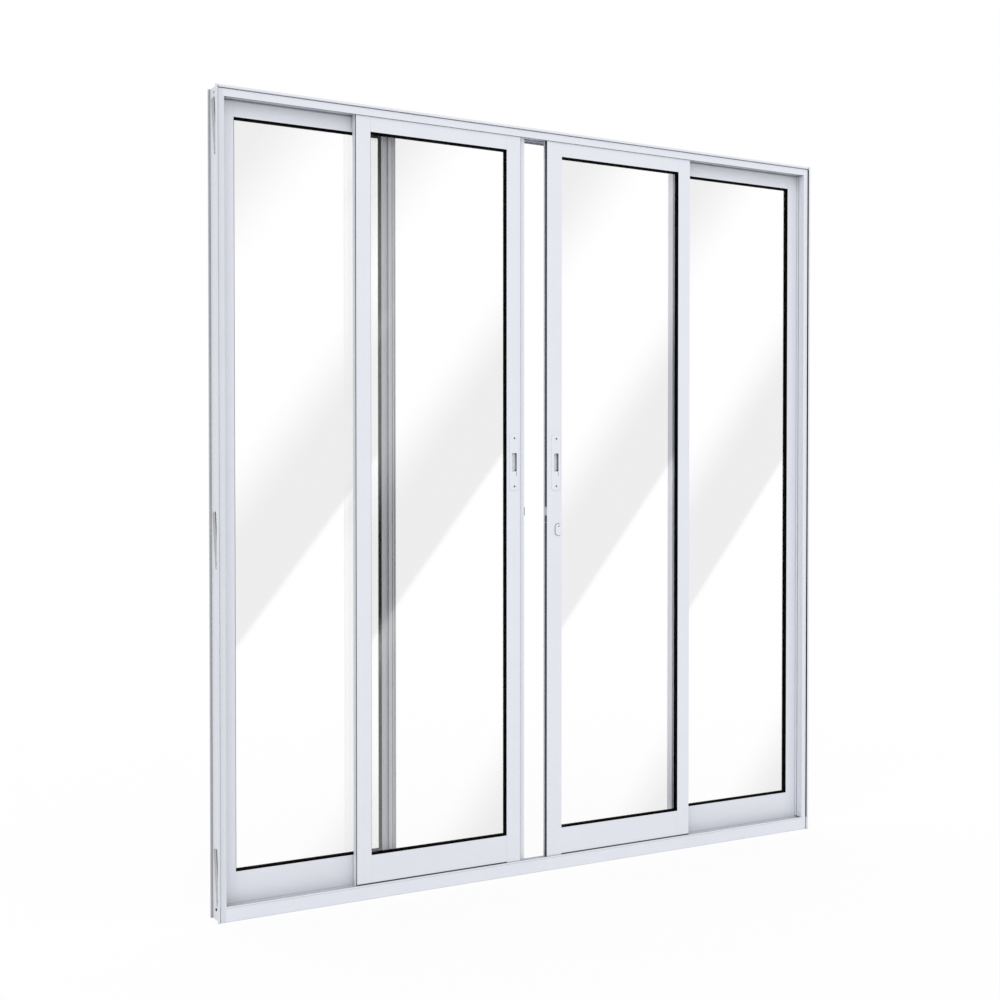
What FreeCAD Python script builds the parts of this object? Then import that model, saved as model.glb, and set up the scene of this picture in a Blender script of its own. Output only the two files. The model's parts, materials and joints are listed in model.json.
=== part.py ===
import FreeCAD, Part
import math
import os
from FreeCAD import Vector

os.makedirs("parts", exist_ok=True)

# Glass sliding patio door with four leaves in an aluminium frame.
# The two outer leaves are fixed on the rear track, the two middle ones slide on the front track.
# Millimetres, X to the right, Y from the front to the back, Z up.
# The origin is at the middle of the underside of the sill.

# Frame
width = 2000.0
height = 2150.0
depth = 66.0
wall = 1.6

# Profile of the head and the jambs, from the outer edge inwards
lip_width = 6.0
lip_thickness = 2.0
groove_width = 2.5
face_set_back = 4.0
groove_depth = 2.5
web_inset = 8.0
rear_flange_inset = 1.5
jamb_face = 24.5
head_face = 27.5
head_rear_flange = 28.5
strip_width = 21.5
cover_joint = 27.0
cover_joint_width = 2.8

# Sill
sill_height = 40.3
sill_line_drop = 4.0
sill_line_width = 0.8
sill_line_depth = 0.8
front_rail_top = 32.0
rear_rail_top = 30.0
rail_thickness = 2.4
sill_rear_height = 24.0

# Middle wall of the tracks, with the ports that take the corner screws
middle_rise = 25.0
sill_middle_top = 37.0
head_middle_drop = 28.0
port_radius = 3.3
port_bore = 1.7

# Leaves
leaf_thickness = 23.0
leaf_wall = 1.4
front_leaf_set_back = 8.0
leaf_gap = 7.0
rail_gap = 2.0
head_gap = 10.4
top_rail_height = 48.7
bottom_rail_height = 84.8
bottom_channel_height = 28.0

# Widths of the stiles, and how the leaves share the width of the frame
jamb_stile = 47.0
interlock_stile = 43.0
meeting_stile = 48.0
tongue_stile_width = 45.0
interlock_overlap = 43.8
sliding_leaf_extra = 3.7
jamb_pocket_gap = 5.4
seat_gap = 0.3

# Glazing
glass_thickness = 4.0
glazing_lip = 12.0
glass_bite = 8.0
gasket_base = 2.0
gasket_sight = 3.0
gasket_recess = 5.0

# Positions of the sliding leaves
closed_gap = 5.0
left_leaf_open_by = 88.0

# Meeting stiles
tongue_length = 18.0
tongue_thickness = 6.0
groove_reach = 18.0
front_lip_extra = 2.0
rear_lip_set_back = 1.5

# Pile strips of the sliding leaves, and the rubber strip in the groove of the jambs
edge_slot_width = 5.0
edge_slot_depth = 4.0
edge_slot_wall = 1.2
edge_pile_set_back = 1.0
edge_pile_gap = 0.4
groove_pile_width = 8.0
groove_pile_thickness = 2.0
groove_pile_reveal = 4.0
pile_joint_height = 1015.7
pile_joint_gap = 2.4
jamb_strip_thickness = 1.0
jamb_strip_set_back = 0.8
track_pile_gap = 0.4
track_pile_height = 5.0
track_pile_hang = 0.8
middle_pile_thickness = 1.0
middle_pile_hang = 0.3
middle_pile_height = 3.0
rear_pile_hang = 1.2

# Hooks that interlock a sliding leaf with its fixed leaf
hook_wall = 1.2
hook_sill_gap = 9.7
hook_head_gap = 6.5
hook_engagement = 4.0
fixed_hook_inset = 12.6
fixed_hook_gap = 2.0
fixed_hook_reach = 13.2
sliding_hook_inset = 10.0
sliding_hook_gap = 1.2

# Rollers under the sliding leaves
roller_radius = 11.0
roller_width = 8.0
roller_groove = 2.0
roller_groove_width = 3.2
roller_inset = 75.0
carriage_length = 60.0
carriage_wall = 2.0
carriage_gap = 0.3
axle_radius = 2.5

# Recessed pulls
pull_width = 30.0
pull_height = 162.0
pull_plate = 1.8
pull_corner = 9.0
pull_middle = 1190.7
pull_from_tongue_edge = 21.0
pull_from_groove_edge = 28.0
cup_width = 15.4
cup_height = 53.0
cup_depth = 10.0
cup_wall = 1.0
cup_corner = 1.0
cup_fit = 0.3
cup_side_window = 45.0
cup_window_rib = 0.6
pull_slot_width = 1.4
pull_slot_length = 10.0
pull_slot_drop = 2.0
pull_screw_spacing = 138.0
screw_head_radius = 3.4
screw_head_height = 1.2
screw_shank_radius = 1.7
screw_length = 7.0
screw_fit = 0.2

# Lock of the right sliding leaf
lock_width = 20.0
lock_height = 33.0
lock_thickness = 4.5
lock_pull_gap = 98.2
lock_from_groove_edge = 35.5
lock_corner = 8.0
lock_edge_round = 1.5
key_slot_radius = 2.0
key_slot_rise = 10.0
key_slot_depth = 2.5
latch_plate_rise = 35.0
latch_plate_height = 90.0
latch_plate_width = 16.0
latch_plate_fit = 0.2
latch_case_depth = 12.0
latch_case_lap = 1.0
latch_nose_drop = 16.0
latch_nose_height = 20.0
latch_nose_thickness = 4.0
latch_nose_gap = 0.6
latch_mouth_depth = 6.0
latch_pile_gap = 3.0
strike_height = 24.0
strike_thickness = 1.9
strike_recess_depth = 1.2
strike_recess_width = 3.0
strike_recess_height = 16.0

# Wall anchors on the outer side of the jambs
anchor_length = 145.0
anchor_width = 20.0
anchor_thickness = 2.0
anchor_tilt = 8.6
anchor_gap = 1.17
low_anchor_height = 112.0
middle_anchor_drop = 89.0
high_anchor_drop = 99.0
rivet_radius = 4.0
rivet_height = 1.2
rivet_from_end = 12.0

# Corner screws through the webs of the jambs
corner_screw_head_radius = 3.6
corner_screw_head_height = 2.2
corner_screw_shank_radius = 1.6
corner_screw_length = 30.0
corner_hole_radius = 2.0

# Least length or depth that tells one edge from another
tolerance = 0.01

# Derived places
half_width = width / 2
web_inner = web_inset + wall
groove_floor = face_set_back + groove_depth
front_leaf_back = front_leaf_set_back + leaf_thickness
rear_leaf_front = front_leaf_back + leaf_gap
rear_leaf_back = rear_leaf_front + leaf_thickness
middle_wall_front = (front_leaf_back + rear_leaf_front - wall) / 2
middle_centre = middle_wall_front + wall / 2
front_rail_centre = front_leaf_set_back + leaf_thickness / 2
rear_rail_centre = rear_leaf_front + leaf_thickness / 2
pocket_front = rear_leaf_front - seat_gap
pocket_back = rear_leaf_back + seat_gap
head_web_under = height - web_inner
sill_port_height = middle_rise + port_radius
head_port_height = head_web_under - port_radius
fixed_left = -half_width + web_inner + jamb_pocket_gap
two_leaves = -closed_gap / 2 - fixed_left + interlock_overlap
sliding_width = (two_leaves + sliding_leaf_extra) / 2
fixed_width = two_leaves - sliding_width
fixed_opening = fixed_width - jamb_stile - interlock_stile
closed_left = -closed_gap / 2 - sliding_width
glass_front = (leaf_thickness - glass_thickness) / 2
glass_back = glass_front + glass_thickness
leaf_back_wall = leaf_thickness - leaf_wall
leaf_bottom = front_rail_top + rail_gap
leaf_top = head_web_under - head_gap
glass_opening_bottom = leaf_bottom + bottom_rail_height
glass_opening_top = leaf_top - top_rail_height
channel_web = leaf_bottom + bottom_channel_height
hook_bottom = sill_height + hook_sill_gap
hook_top = height - head_face - hook_head_gap
groove_front_edge = sliding_width + front_lip_extra
groove_rear_edge = groove_front_edge - rear_lip_set_back
fixed_hook_stand = leaf_gap - fixed_hook_gap
sliding_hook_stand = leaf_gap - sliding_hook_gap
fixed_hook_tip = interlock_overlap - fixed_hook_inset - fixed_hook_reach
sliding_hook_reach = fixed_hook_tip + hook_engagement - sliding_hook_inset
lock_middle = pull_middle - pull_height / 2 - lock_pull_gap - lock_height / 2
latch_plate_top = lock_middle + latch_plate_rise + latch_plate_height / 2
latch_plate_bottom = latch_plate_top - latch_plate_height
latch_nose_top = latch_plate_top - latch_nose_drop
latch_nose_bottom = latch_nose_top - latch_nose_height
latch_nose_middle = (latch_nose_bottom + latch_nose_top) / 2
latch_face = sliding_width - groove_reach
edge_slot_back = leaf_wall + edge_slot_width
half_strap_along = anchor_length / 2 * math.sin(math.radians(anchor_tilt))
half_strap_across = anchor_width / 2 * math.cos(math.radians(anchor_tilt))
anchor_set_back = groove_floor + wall + anchor_gap + half_strap_along + half_strap_across
anchor_heights = (low_anchor_height, height / 2 - middle_anchor_drop, height - high_anchor_drop)


def block(x, y, z):
    """A box from three pairs of low and high limits."""
    size = (x[1] - x[0], y[1] - y[0], z[1] - z[0])
    return Part.makeBox(size[0], size[1], size[2], Vector(x[0], y[0], z[0]))


def joined(shapes):
    """One solid from touching or overlapping shapes."""
    return shapes[0].fuse(shapes[1:]).removeSplitter()


def rod(radius, start, end):
    """A round bar between two points."""
    run = end - start
    return Part.makeCylinder(radius, run.Length, start, run)


def moved(shape, x=0.0, y=0.0, z=0.0):
    """A copy of a shape, moved."""
    copy = shape.copy()
    copy.translate(Vector(x, y, z))
    return copy


def other_side(shape):
    """A copy of a shape, mirrored to the other half of the door."""
    return shape.mirror(Vector(0, 0, 0), Vector(1, 0, 0))


def rounded_plate(centre_x, centre_z, size_x, size_z, corner, y):
    """A plate facing the front, with rounded corners, between two depths."""
    plate = block((centre_x - size_x / 2, centre_x + size_x / 2), y,
                  (centre_z - size_z / 2, centre_z + size_z / 2))
    edges = [e for e in plate.Edges if e.BoundBox.YLength > tolerance]
    return plate.makeFillet(corner, edges)


def save(name, shape):
    """Write one piece, with the origin brought to the middle of the frame's depth."""
    moved(shape, y=-depth / 2).exportStep("parts/" + name + ".step")


def edge_profile(face_reach, flange_reach):
    """Rectangles of the head and jamb profile: distance from the outer edge, then depth."""
    face_start = lip_width + groove_width
    return [
        ((0, lip_width), (0, lip_thickness)),
        ((lip_width - wall, lip_width), (0, groove_floor + wall)),
        ((lip_width - wall, face_start + wall), (groove_floor, groove_floor + wall)),
        ((face_start, face_start + wall), (face_set_back, groove_floor + wall)),
        ((face_start, face_reach), (face_set_back, face_set_back + wall)),
        ((web_inset, web_inner), (groove_floor, depth)),
        ((rear_flange_inset, flange_reach), (depth - wall, depth)),
    ]


def corner_screw_axes():
    """Depth and height of the screw at each corner of the frame."""
    return ((middle_centre, sill_port_height), (middle_centre, head_port_height))


def left_jamb():
    """The upright profile, coped round the head and the sill."""
    inner = (jamb_face - wall, jamb_face)
    reach = (web_inset, jamb_face)
    profile = edge_profile(jamb_face, jamb_face) + [
        (inner, (face_set_back, cover_joint)),
        (inner, (cover_joint + cover_joint_width, pocket_front)),
        (reach, (pocket_front - wall, pocket_front)),
        (reach, (pocket_back, pocket_back + wall)),
        (inner, (pocket_back, depth)),
    ]
    bars = [block((-half_width + u[0], -half_width + u[1]), v, (0, height)) for u, v in profile]
    jamb = joined(bars)
    inside = (-half_width + web_inner, -half_width + jamb_face + wall)
    past_strip = (-half_width + strip_width, -half_width + jamb_face + wall)
    between = (face_set_back + wall, depth - wall)
    across = (-wall, depth + wall)
    jamb = jamb.cut(block(inside, between, (0, sill_height)))
    jamb = jamb.cut(block(past_strip, across, (0, sill_height)))
    jamb = jamb.cut(block(inside, between, (height - head_middle_drop, height)))
    jamb = jamb.cut(block(past_strip, (-wall, face_set_back + wall), (height - head_face, height)))
    jamb = jamb.cut(block(past_strip, (depth - wall, depth + wall), (height - head_rear_flange, height)))
    top_band = (height - lip_width - groove_width, height)
    jamb = jamb.cut(block(inside, across, top_band))
    for y, z in corner_screw_axes():
        start = Vector(-half_width, y, z)
        jamb = jamb.cut(rod(corner_hole_radius, start, start + Vector(jamb_face, 0, 0)))
    return jamb


def jamb_strip():
    """The black strip in the groove of the left jamb, over the sill."""
    low_x = -half_width + lip_width
    z = (sill_height, height - lip_width - groove_width)
    floor_y = (groove_floor - jamb_strip_thickness, groove_floor)
    floor = block((low_x, low_x + groove_width), floor_y, z)
    side = block((low_x, low_x + jamb_strip_thickness), (jamb_strip_set_back, groove_floor), z)
    return joined([floor, side])


def between_jambs(rectangles, strip_z):
    """A long profile between the webs of the jambs, cut back beside their face strips."""
    x = (-half_width + web_inner, half_width - web_inner)
    bar = joined([block(x, y, z) for y, z in rectangles])
    for side in (-1, 1):
        near = side * (half_width - strip_width)
        far = side * half_width
        ends = (min(near, far), max(near, far))
        bar = bar.cut(block(ends, (-wall, face_set_back + wall), strip_z))
        bar = bar.cut(block(ends, (depth - wall, depth + wall), strip_z))
    return bar


def with_port(bar, z):
    """Adds the screw port that runs along the middle wall."""
    start = Vector(-half_width + web_inner, middle_centre, z)
    end = Vector(half_width - web_inner, middle_centre, z)
    return joined([bar, rod(port_radius, start, end)]).cut(rod(port_bore, start, end))


def head_track():
    """The top profile: the edge profile turned flat, and the middle wall."""
    profile = edge_profile(head_face, head_rear_flange)
    rectangles = [(v, (height - u[1], height - u[0])) for u, v in profile]
    middle = (middle_wall_front, middle_wall_front + wall)
    rectangles.append((middle, (height - head_middle_drop, head_web_under)))
    strip_z = (height - head_rear_flange - wall, height - lip_width - groove_width)
    return with_port(between_jambs(rectangles, strip_z), head_port_height)


def sill_track():
    """The bottom profile: face with a fine line, base, two rails, middle wall and low rear wall."""
    face_back = face_set_back + wall
    half_rail = rail_thickness / 2
    line_high = sill_height - sill_line_drop
    line_low = line_high - sill_line_width
    line_back = face_set_back + sill_line_depth
    rectangles = [
        ((face_set_back, depth), (0, wall)),
        ((face_set_back, face_back), (0, line_low)),
        ((face_set_back, face_back), (line_high, sill_height)),
        ((line_back, face_back), (line_low, line_high)),
        ((front_rail_centre - half_rail, front_rail_centre + half_rail), (0, front_rail_top)),
        ((middle_wall_front, middle_wall_front + wall), (0, sill_middle_top)),
        ((rear_rail_centre - half_rail, rear_rail_centre + half_rail), (0, rear_rail_top)),
        ((depth - wall, depth), (0, sill_rear_height)),
    ]
    sill = between_jambs(rectangles, (-wall, sill_height + wall))
    return with_port(sill, sill_port_height)


def track_piles():
    """Pile strips behind the faces of the head and the sill, under the middle wall and at the back."""
    x = (-half_width + jamb_face, half_width - jamb_face)
    face_back = face_set_back + wall
    front = (face_back, front_leaf_set_back - track_pile_gap)
    head_low = height - head_face - track_pile_hang
    middle = (middle_wall_front - middle_pile_thickness, middle_wall_front + wall + middle_pile_thickness)
    middle_low = height - head_middle_drop - middle_pile_hang
    rear = (rear_leaf_back + track_pile_gap, depth - wall)
    rear_low = height - head_rear_flange - rear_pile_hang
    cap = block(x, middle, (middle_low, middle_low + middle_pile_height))
    kept = block(x, (middle_wall_front, middle_wall_front + wall), (height - head_middle_drop, height))
    return [
        block(x, front, (head_low, head_low + track_pile_height)),
        cap.cut(kept),
        block(x, rear, (rear_low, rear_low + track_pile_height)),
        block(x, front, (sill_height - track_pile_height, sill_height)),
    ]


def corner_screws():
    """Pan head screws through the jamb webs into the ports."""
    screws = []
    for y, z in corner_screw_axes():
        seat = Vector(-half_width + web_inset, y, z)
        head = rod(corner_screw_head_radius, seat - Vector(corner_screw_head_height, 0, 0), seat)
        shank = rod(corner_screw_shank_radius, seat, seat + Vector(corner_screw_length, 0, 0))
        screws.append(joined([head, shank]))
    return screws + [other_side(s) for s in screws]


def wall_anchors():
    """Flat steel straps riveted to the web of the left jamb, leaning back."""
    anchors = []
    outer = -half_width + web_inset - anchor_thickness
    for z in anchor_heights:
        low = z - anchor_length / 2
        strap = block((outer, outer + anchor_thickness),
                      (anchor_set_back - anchor_width / 2, anchor_set_back + anchor_width / 2),
                      (low, z + anchor_length / 2))
        foot = Vector(outer, anchor_set_back, low + rivet_from_end)
        rivet = rod(rivet_radius, foot - Vector(rivet_height, 0, 0), foot)
        anchor = joined([strap, rivet])
        anchor.rotate(Vector(0, anchor_set_back, z), Vector(1, 0, 0), -anchor_tilt)
        anchors.append(anchor)
    return anchors


def tube_walls(low, high):
    """Four walls of a stile's tube between two widths."""
    return [
        ((low, high), (0, leaf_wall)),
        ((low, high), (leaf_back_wall, leaf_thickness)),
        ((low, low + leaf_wall), (0, leaf_thickness)),
        ((high - leaf_wall, high), (0, leaf_thickness)),
    ]


def front_and_back(low, high):
    """Two lips, flush with the faces of a leaf."""
    return [((low, high), (0, leaf_wall)), ((low, high), (leaf_back_wall, leaf_thickness))]


def upright(rectangles, bottom):
    """A stile from the rectangles of its section."""
    return joined([block(x, y, (bottom, leaf_top)) for x, y in rectangles])


def plain_stile(stile_width, bottom):
    """A tube with its glazing lips on the right."""
    tube = stile_width - glazing_lip
    return upright(tube_walls(0, tube) + front_and_back(tube, stile_width), bottom)


def slotted_stile():
    """The interlock stile of a sliding leaf, with a slot for a pile strip in its outer side."""
    z = (leaf_bottom, leaf_top)
    slot_wall_back = edge_slot_back + edge_slot_wall
    floor_x = (edge_slot_depth, edge_slot_depth + edge_slot_wall)
    stile = plain_stile(interlock_stile, leaf_bottom)
    stile = stile.cut(block((-leaf_wall, edge_slot_depth), (leaf_wall, edge_slot_back), z))
    floor = block(floor_x, (leaf_wall, slot_wall_back), z)
    side = block((0, edge_slot_depth), (edge_slot_back, slot_wall_back), z)
    return joined([stile, floor, side])


def edge_pile():
    """The pile strip in the slot of an interlock stile."""
    y = (leaf_wall + edge_pile_gap, edge_slot_back - edge_pile_gap)
    return block((edge_pile_set_back, edge_slot_depth), y, (leaf_bottom, leaf_top))


def groove_pile():
    """The pile strip on the rear wall of the groove, in runs that stop at a joint and beside the latch."""
    high_x = groove_rear_edge - groove_pile_reveal
    x = (high_x - groove_pile_width, high_x)
    y = (leaf_back_wall - groove_pile_thickness, leaf_back_wall)
    runs = (
        (leaf_bottom, pile_joint_height - pile_joint_gap / 2),
        (pile_joint_height + pile_joint_gap / 2, latch_nose_bottom - latch_pile_gap),
        (latch_nose_top + latch_pile_gap, leaf_top),
    )
    return Part.makeCompound([block(x, y, run) for run in runs])


def hook(web_x, tip_x, face_y, stand):
    """An interlock hook: a web that stands off a face, and a finger along it."""
    outer = face_y + stand
    inner = outer - hook_wall if stand > 0 else outer + hook_wall
    z = (hook_bottom, hook_top)
    web = block((web_x, web_x + hook_wall), (min(face_y, outer), max(face_y, outer)), z)
    finger_x = (min(web_x, tip_x), max(web_x + hook_wall, tip_x))
    finger = block(finger_x, (min(inner, outer), max(inner, outer)), z)
    return [web, finger]


def rail(low_x, high_x, rectangles):
    """A horizontal bar of a leaf from the rectangles of its section."""
    return joined([block((low_x, high_x), y, z) for y, z in rectangles])


def top_rail(low_x, high_x):
    """A tube with its glazing lips below."""
    tube_low = glass_opening_top + glazing_lip
    full = (0, leaf_thickness)
    faces = ((0, leaf_wall), (leaf_back_wall, leaf_thickness))
    walls = [(y, (glass_opening_top, leaf_top)) for y in faces]
    walls.append((full, (tube_low, tube_low + leaf_wall)))
    walls.append((full, (leaf_top - leaf_wall, leaf_top)))
    return rail(low_x, high_x, walls)


def bottom_rail(low_x, high_x, bottom):
    """A tube with its glazing lips above and an open channel for the track below."""
    tube_high = glass_opening_bottom - glazing_lip
    full = (0, leaf_thickness)
    faces = ((0, leaf_wall), (leaf_back_wall, leaf_thickness))
    walls = [(y, (bottom, glass_opening_bottom)) for y in faces]
    walls.append((full, (channel_web, channel_web + leaf_wall)))
    walls.append((full, (tube_high - leaf_wall, tube_high)))
    return rail(low_x, high_x, walls)


def pane(left, opening):
    """The sheet of glass, held in the glazing channels."""
    x = (left - glass_bite, left + opening + glass_bite)
    z = (glass_opening_bottom - glass_bite, glass_opening_top + glass_bite)
    return block(x, (glass_front, glass_back), z)


def gasket(left, opening):
    """The rubber channel round the glass, with a lip that shows on each side of the glass."""
    def ring_box(reach, y):
        x = (left - reach, left + opening + reach)
        z = (glass_opening_bottom - reach, glass_opening_top + reach)
        return block(x, y, z)
    through = (-leaf_wall, leaf_thickness + leaf_wall)
    channel = ring_box(glass_bite + gasket_base, (leaf_wall, leaf_back_wall)).cut(ring_box(0, through))
    recessed = (gasket_recess, leaf_thickness - gasket_recess)
    lips = ring_box(0, recessed).cut(ring_box(-gasket_sight, through))
    return joined([channel, lips]).cut(pane(left, opening))


def fixed_leaf():
    """Pieces of the left fixed leaf, by name, from its left edge."""
    right_arris = jamb_stile + fixed_opening
    interlock = other_side(plain_stile(interlock_stile, rear_rail_top))
    interlock = moved(interlock, x=fixed_width)
    web_x = fixed_width - fixed_hook_inset - hook_wall
    tip_x = web_x + hook_wall - fixed_hook_reach
    interlock = joined([interlock] + hook(web_x, tip_x, 0, -fixed_hook_stand))
    pieces = {
        "jamb_stile": plain_stile(jamb_stile, rear_rail_top),
        "interlock_stile": interlock,
        "top_rail": top_rail(jamb_stile, right_arris),
        "bottom_rail": bottom_rail(jamb_stile, right_arris, rear_rail_top),
        "glass": pane(jamb_stile, fixed_opening),
        "gasket": gasket(jamb_stile, fixed_opening),
    }
    return {name: moved(shape, fixed_left, rear_leaf_front) for name, shape in pieces.items()}


def tongue_stile():
    """The meeting stile that carries the tongue, from its glazing lips to the tongue's tip."""
    middle = leaf_thickness / 2
    section = tube_walls(glazing_lip, tongue_stile_width) + front_and_back(0, glazing_lip)
    section.append(((tongue_stile_width, tongue_stile_width + tongue_length),
                    (middle - tongue_thickness / 2, middle + tongue_thickness / 2)))
    return upright(section, leaf_bottom)


def groove_stile():
    """The meeting stile that receives the tongue, drawn for the left half of the door."""
    tube_high = meeting_stile - groove_reach
    tube = tube_walls(glazing_lip, tube_high)
    section = tube + front_and_back(0, glazing_lip)
    front_high = meeting_stile + front_lip_extra
    section.append(((tube_high, front_high), (0, leaf_wall)))
    section.append(((tube_high, front_high - rear_lip_set_back), (leaf_back_wall, leaf_thickness)))
    return upright(section, leaf_bottom)


def pull(centre_x, slot_side):
    """A flush pull for the front face: a plate with a cup sunk in it, slotted at the cup's sides."""
    plate_y = (-pull_plate, 0)
    plate = rounded_plate(centre_x, pull_middle, pull_width, pull_height, pull_corner, plate_y)
    outer_x = cup_width + 2 * cup_wall
    outer_z = cup_height + 2 * cup_wall
    cup_y = (-pull_plate, cup_depth)
    cup = rounded_plate(centre_x, pull_middle, outer_x, outer_z, cup_corner + cup_wall, cup_y)
    pocket_y = (-pull_plate - cup_wall, cup_depth - cup_wall)
    pocket = rounded_plate(centre_x, pull_middle, cup_width, cup_height, cup_corner, pocket_y)
    window_z = (pull_middle - cup_side_window / 2, pull_middle + cup_side_window / 2)
    window = block((centre_x - outer_x, centre_x + outer_x), (leaf_wall, cup_depth - cup_wall), window_z)
    rib_middle = (leaf_wall + cup_depth - cup_wall) / 2
    rib_y = (rib_middle - cup_window_rib / 2, rib_middle + cup_window_rib / 2)
    window = window.cut(block((centre_x - outer_x, centre_x + outer_x), rib_y, window_z))
    slot_x = centre_x + slot_side * (cup_width - pull_slot_width) / 2
    slot_top = pull_middle - cup_height / 2 - pull_slot_drop
    slot = block((slot_x - pull_slot_width / 2, slot_x + pull_slot_width / 2), (-pull_plate, 0),
                 (slot_top - pull_slot_length, slot_top))
    shape = joined([plate, cup]).cut(pocket).cut(window).cut(slot)
    for start, end in pull_screw_axes(centre_x):
        shape = shape.cut(rod(screw_shank_radius + screw_fit, start, end))
    return shape


def pull_screw_axes(centre_x):
    """Start and end of the two screws of a pull on the front face."""
    axes = []
    for side in (-1, 1):
        z = pull_middle + side * pull_screw_spacing / 2
        start = Vector(centre_x, -pull_plate - screw_head_height, z)
        axes.append((start, Vector(centre_x, -pull_plate + screw_length, z)))
    return axes


def pull_screws(centre_x):
    """The two screws of a pull on the front face."""
    screws = []
    for start, end in pull_screw_axes(centre_x):
        seat = start + Vector(0, screw_head_height, 0)
        screws.append(joined([rod(screw_head_radius, start, seat), rod(screw_shank_radius, seat, end)]))
    return screws


def pull_cut(centre_x):
    """What is cut from the front wall of a stile to take a pull."""
    fit_x = cup_width + 2 * cup_wall + 2 * cup_fit
    fit_z = cup_height + 2 * cup_wall + 2 * cup_fit
    cut_y = (-leaf_wall, cup_depth)
    hole = rounded_plate(centre_x, pull_middle, fit_x, fit_z, cup_corner + cup_wall + cup_fit, cut_y)
    axes = pull_screw_axes(centre_x)
    return [hole] + [rod(screw_shank_radius + screw_fit, start, end) for start, end in axes]


def to_back(shape):
    """A copy of a shape, mirrored from the front face of a leaf to its back face."""
    return shape.mirror(Vector(0, leaf_thickness / 2, 0), Vector(0, 1, 0))


def rollers(right_arris):
    """Two grooved wheels in their carriages, in the channel of the bottom rail."""
    middle = leaf_thickness / 2
    half_channel = middle - leaf_wall - carriage_gap
    axle_z = front_rail_top + seat_gap + roller_radius - roller_groove
    ends = (interlock_stile + roller_inset, right_arris - roller_inset)
    found = []
    for x in ends:
        along = (x - carriage_length / 2, x + carriage_length / 2)
        cheek_z = (leaf_bottom, channel_web)
        cheeks = [block(along, (middle - half_channel, middle - half_channel + carriage_wall), cheek_z),
                  block(along, (middle + half_channel - carriage_wall, middle + half_channel), cheek_z)]
        roof = block(along, (middle - half_channel, middle + half_channel),
                     (channel_web - carriage_wall, channel_web))
        axle = rod(axle_radius, Vector(x, middle - half_channel, axle_z),
                   Vector(x, middle + half_channel, axle_z))
        wheel = rod(roller_radius, Vector(x, middle - roller_width / 2, axle_z),
                    Vector(x, middle + roller_width / 2, axle_z))
        half_groove = roller_groove_width / 2
        rim = rod(roller_radius, Vector(x, middle - half_groove, axle_z),
                  Vector(x, middle + half_groove, axle_z))
        core = rod(roller_radius - roller_groove, Vector(x, middle - half_groove, axle_z),
                   Vector(x, middle + half_groove, axle_z))
        found.append(joined(cheeks + [roof, axle, wheel.cut(rim), core]))
    return found


def sliding_leaf(with_tongue):
    """Pieces of a sliding leaf, by name, drawn for the left half of the door."""
    right_arris = sliding_width - (tongue_stile_width if with_tongue else meeting_stile)
    opening = right_arris - interlock_stile
    interlock = slotted_stile()
    tip_x = sliding_hook_inset + sliding_hook_reach
    hook_parts = hook(sliding_hook_inset, tip_x, leaf_thickness, sliding_hook_stand)
    from_edge = pull_from_tongue_edge if with_tongue else pull_from_groove_edge
    centre_x = sliding_width - from_edge
    meeting = moved(tongue_stile() if with_tongue else groove_stile(), x=right_arris)
    for cutter in pull_cut(centre_x):
        meeting = meeting.cut(cutter).cut(to_back(cutter))
    slot_side = 1 if with_tongue else -1
    screws = pull_screws(centre_x)
    pieces = {
        "interlock_stile": joined([interlock] + hook_parts),
        "meeting_stile": meeting,
        "top_rail": top_rail(interlock_stile, right_arris),
        "bottom_rail": bottom_rail(interlock_stile, right_arris, leaf_bottom),
        "glass": pane(interlock_stile, opening),
        "gasket": gasket(interlock_stile, opening),
        "rollers": Part.makeCompound(rollers(right_arris)),
        "front_pull": pull(centre_x, slot_side),
        "rear_pull": to_back(pull(centre_x, slot_side)),
        "pull_screws": Part.makeCompound(screws + [to_back(s) for s in screws]),
        "edge_pile": edge_pile(),
    }
    if with_tongue:
        pieces["latch_keeper"] = latch_keeper()
    else:
        pieces["meeting_stile"] = meeting.cut(latch_hole())
        pieces["groove_pile"] = groove_pile()
        pieces["lock"] = lock_cover()
        pieces["latch"] = latch()
    return pieces


def latch_keeper():
    """The strike plate on the end of the tongue, with a recess for the nose of the latch."""
    tip_x = sliding_width + tongue_length
    front_x = tip_x + strike_thickness
    middle = leaf_thickness / 2
    plate = block((tip_x, front_x), (middle - tongue_thickness / 2, middle + tongue_thickness / 2),
                  (latch_nose_middle - strike_height / 2, latch_nose_middle + strike_height / 2))
    half_recess = strike_recess_width / 2
    half_height = strike_recess_height / 2
    return plate.cut(block((front_x - strike_recess_depth, front_x),
                           (middle - half_recess, middle + half_recess),
                           (latch_nose_middle - half_height, latch_nose_middle + half_height)))


def lock_cover():
    """The raised cover of the lock on the front face of the groove stile."""
    centre_x = sliding_width - lock_from_groove_edge
    cover = rounded_plate(centre_x, lock_middle, lock_width, lock_height, lock_corner,
                          (-lock_thickness, 0))
    rim = [e for e in cover.Edges if abs(e.BoundBox.YMax + lock_thickness) < tolerance]
    cover = cover.makeFillet(lock_edge_round, rim)
    mouth = Vector(centre_x, -lock_thickness, lock_middle + key_slot_rise)
    return cover.cut(rod(key_slot_radius, mouth, mouth + Vector(0, key_slot_depth, 0)))


def latch_plate(x, fit):
    """The outline of the latch's face plate, between two widths, grown by a fit."""
    half = latch_plate_width / 2 + fit
    middle = leaf_thickness / 2
    return block(x, (middle - half, middle + half), (latch_plate_bottom - fit, latch_plate_top + fit))


def latch_hole():
    """What is cut from the bottom of the groove to take the face plate."""
    return latch_plate((latch_face - leaf_wall, latch_face), latch_plate_fit)


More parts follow.
